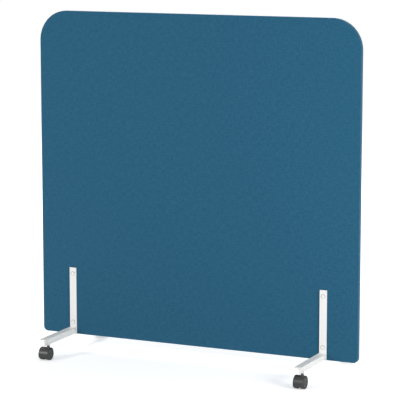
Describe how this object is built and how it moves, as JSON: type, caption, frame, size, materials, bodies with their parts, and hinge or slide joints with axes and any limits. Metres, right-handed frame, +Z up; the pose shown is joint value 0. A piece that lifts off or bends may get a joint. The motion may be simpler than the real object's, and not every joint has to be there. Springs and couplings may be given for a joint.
{
  "type": "rolling partition",
  "caption": "Free-standing upright fabric-covered screen panel with rounded top corners, on flat-bar and T-section steel feet with hooded twin-wheel swivel castors.",
  "frame": {"origin": "on the floor under the middle of the panel", "axes": "+X along the panel to the right as seen from the front, +Y from the front face to the rear, +Z up"},
  "size_m": [1.4, 0.552, 1.4],
  "materials": {
    "cover_fabric": "woven polyester, matt, slightly mottled",
    "foam": "soft open-cell foam wadding",
    "infill": "soft fibreboard",
    "timber": "sawn and planed softwood",
    "fasteners": "white lacquered steel",
    "coated_steel": "white powder coat, satin",
    "zinc_steel": "zinc plated",
    "castor_housing": "moulded nylon, satin",
    "castor_wheel": "moulded nylon, satin"
  },
  "bodies": {
    "screen": {"cover_front": "cover_fabric", "cover_rear": "cover_fabric", "wadding_front": "foam", "wadding_rear": "foam", "infill_board": "infill", "top_rail": "timber", "bottom_rail": "timber", "stile_left": "timber", "corner_piece_left": "timber", "foot_batten_left": "timber", "bolts_left": "fasteners", "sleeve_nuts_left": "fasteners", "stile_right": "timber", "corner_piece_right": "timber", "foot_batten_right": "timber", "bolts_right": "fasteners", "sleeve_nuts_right": "fasteners", "upright_front_left": "coated_steel", "arm_front_left": "coated_steel", "socket_front_left": "coated_steel", "castor_stem_front_left": "zinc_steel", "upright_front_right": "coated_steel", "arm_front_right": "coated_steel", "socket_front_right": "coated_steel", "castor_stem_front_right": "zinc_steel", "upright_rear_left": "coated_steel", "arm_rear_left": "coated_steel", "socket_rear_left": "coated_steel", "castor_stem_rear_left": "zinc_steel", "upright_rear_right": "coated_steel", "arm_rear_right": "coated_steel", "socket_rear_right": "coated_steel", "castor_stem_rear_right": "zinc_steel"},
    "castor_front_left": {"castor_housing_front_left": "castor_housing", "castor_axle_front_left": "zinc_steel"},
    "roller_front_left_inner": {"wheel_front_left_inner": "castor_wheel"},
    "roller_front_left_outer": {"wheel_front_left_outer": "castor_wheel"},
    "castor_front_right": {"castor_housing_front_right": "castor_housing", "castor_axle_front_right": "zinc_steel"},
    "roller_front_right_inner": {"wheel_front_right_inner": "castor_wheel"},
    "roller_front_right_outer": {"wheel_front_right_outer": "castor_wheel"},
    "castor_rear_left": {"castor_housing_rear_left": "castor_housing", "castor_axle_rear_left": "zinc_steel"},
    "roller_rear_left_inner": {"wheel_rear_left_inner": "castor_wheel"},
    "roller_rear_left_outer": {"wheel_rear_left_outer": "castor_wheel"},
    "castor_rear_right": {"castor_housing_rear_right": "castor_housing", "castor_axle_rear_right": "zinc_steel"},
    "roller_rear_right_inner": {"wheel_rear_right_inner": "castor_wheel"},
    "roller_rear_right_outer": {"wheel_rear_right_outer": "castor_wheel"}
  },
  "joints": [
    {"name": "swivel_front_left", "type": "hinge", "parent": "screen", "child": "castor_front_left", "pos_m": [-0.556, -0.228, 0.045], "axis": [0, 0, 1], "continuous": true},
    {"name": "roll_front_left_inner", "type": "hinge", "parent": "castor_front_left", "child": "roller_front_left_inner", "pos_m": [-0.5415, -0.247, 0.025], "axis": [1, 0, 0], "continuous": true},
    {"name": "roll_front_left_outer", "type": "hinge", "parent": "castor_front_left", "child": "roller_front_left_outer", "pos_m": [-0.5705, -0.247, 0.025], "axis": [1, 0, 0], "continuous": true},
    {"name": "swivel_front_right", "type": "hinge", "parent": "screen", "child": "castor_front_right", "pos_m": [0.556, -0.228, 0.045], "axis": [0, 0, 1], "continuous": true},
    {"name": "roll_front_right_inner", "type": "hinge", "parent": "castor_front_right", "child": "roller_front_right_inner", "pos_m": [0.5415, -0.247, 0.025], "axis": [1, 0, 0], "continuous": true},
    {"name": "roll_front_right_outer", "type": "hinge", "parent": "castor_front_right", "child": "roller_front_right_outer", "pos_m": [0.5705, -0.247, 0.025], "axis": [1, 0, 0], "continuous": true},
    {"name": "swivel_rear_left", "type": "hinge", "parent": "screen", "child": "castor_rear_left", "pos_m": [-0.556, 0.228, 0.045], "axis": [0, 0, 1], "continuous": true},
    {"name": "roll_rear_left_inner", "type": "hinge", "parent": "castor_rear_left", "child": "roller_rear_left_inner", "pos_m": [-0.5415, 0.247, 0.025], "axis": [1, 0, 0], "continuous": true},
    {"name": "roll_rear_left_outer", "type": "hinge", "parent": "castor_rear_left", "child": "roller_rear_left_outer", "pos_m": [-0.5705, 0.247, 0.025], "axis": [1, 0, 0], "continuous": true},
    {"name": "swivel_rear_right", "type": "hinge", "parent": "screen", "child": "castor_rear_right", "pos_m": [0.556, 0.228, 0.045], "axis": [0, 0, 1], "continuous": true},
    {"name": "roll_rear_right_inner", "type": "hinge", "parent": "castor_rear_right", "child": "roller_rear_right_inner", "pos_m": [0.5415, 0.247, 0.025], "axis": [1, 0, 0], "continuous": true},
    {"name": "roll_rear_right_outer", "type": "hinge", "parent": "castor_rear_right", "child": "roller_rear_right_outer", "pos_m": [0.5705, 0.247, 0.025], "axis": [1, 0, 0], "continuous": true}
  ]
}
